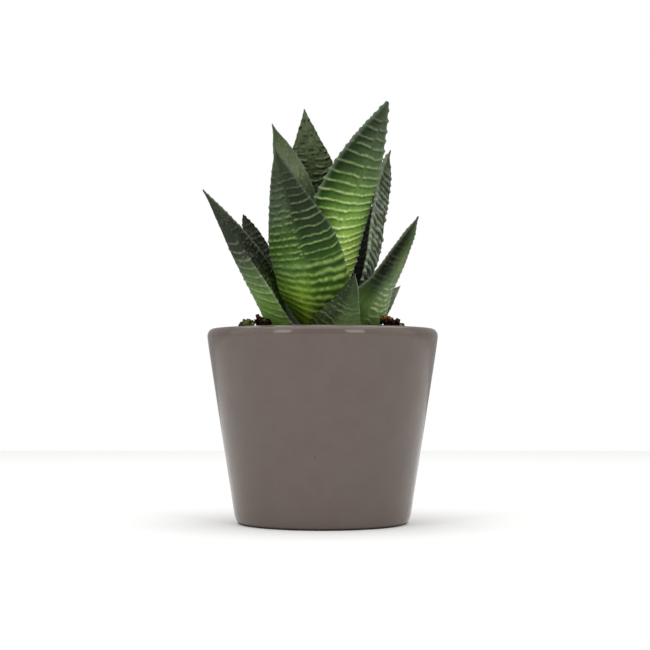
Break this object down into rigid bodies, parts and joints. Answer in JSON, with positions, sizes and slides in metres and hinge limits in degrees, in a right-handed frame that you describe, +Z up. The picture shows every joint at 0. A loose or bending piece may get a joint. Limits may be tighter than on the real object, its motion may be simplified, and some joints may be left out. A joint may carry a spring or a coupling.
{
  "type": "potted haworthia",
  "caption": "Small haworthia with ridged, pointed leaves rising in a rosette from soil in a plain round tapered ceramic pot; a tabletop ornamental plant.",
  "frame": {"origin": "centre of the pot's flat underside", "axes": "+Z up through the pot's axis to the leaf tips; +Y points from the viewed front to the back; +X to the right seen from the front"},
  "size_m": [0.0703, 0.07, 0.1279],
  "materials": {
    "pot": "satin-gloss taupe ceramic glaze",
    "soil": "damp dark potting mix",
    "stem": "pale green stem",
    "leaf_low_left": "firm succulent skin with raised pale ridges",
    "leaf_dark_left": "firm succulent skin with raised pale ridges",
    "leaf_front_left": "firm succulent skin with raised pale ridges",
    "leaf_back_left": "firm succulent skin with raised pale ridges",
    "leaf_back": "firm succulent skin with raised pale ridges",
    "leaf_tall_right": "firm succulent skin with raised pale ridges",
    "leaf_upright_right": "firm succulent skin with raised pale ridges",
    "leaf_low_right": "firm succulent skin with raised pale ridges",
    "leaf_small_front": "firm succulent skin with raised pale ridges",
    "leaf_offset_shoot": "firm succulent skin with raised pale ridges",
    "leaf_rear_right": "firm succulent skin with raised pale ridges",
    "leaf_rear": "firm succulent skin with raised pale ridges",
    "leaf_rear_left": "firm succulent skin with raised pale ridges",
    "leaf_left_low_rear": "firm succulent skin with raised pale ridges",
    "leaf_heart_front": "firm succulent skin with raised pale ridges",
    "leaf_heart_back": "firm succulent skin with raised pale ridges",
    "leaf_rear_low": "firm succulent skin with raised pale ridges",
    "bark_left_1": "rough broken bark",
    "bark_left_2": "rough broken bark",
    "bark_left_3": "rough broken bark",
    "bark_left_4": "rough broken bark",
    "bark_right_1": "rough broken bark",
    "bark_right_2": "rough broken bark",
    "bark_right_3": "rough broken bark",
    "bark_rear_1": "rough broken bark",
    "bark_rear_2": "rough broken bark",
    "bark_rear_3": "rough broken bark"
  },
  "bodies": {
    "root": {"pot": "pot", "soil": "soil", "stem": "stem", "leaf_low_left": "leaf_low_left", "leaf_dark_left": "leaf_dark_left", "leaf_front_left": "leaf_front_left", "leaf_back_left": "leaf_back_left", "leaf_back": "leaf_back", "leaf_tall_right": "leaf_tall_right", "leaf_upright_right": "leaf_upright_right", "leaf_low_right": "leaf_low_right", "leaf_small_front": "leaf_small_front", "leaf_offset_shoot": "leaf_offset_shoot", "leaf_rear_right": "leaf_rear_right", "leaf_rear": "leaf_rear", "leaf_rear_left": "leaf_rear_left", "leaf_left_low_rear": "leaf_left_low_rear", "leaf_heart_front": "leaf_heart_front", "leaf_heart_back": "leaf_heart_back", "leaf_rear_low": "leaf_rear_low", "bark_left_1": "bark_left_1", "bark_left_2": "bark_left_2", "bark_left_3": "bark_left_3", "bark_left_4": "bark_left_4", "bark_right_1": "bark_right_1", "bark_right_2": "bark_right_2", "bark_right_3": "bark_right_3", "bark_rear_1": "bark_rear_1", "bark_rear_2": "bark_rear_2", "bark_rear_3": "bark_rear_3"}
  },
  "joints": []
}
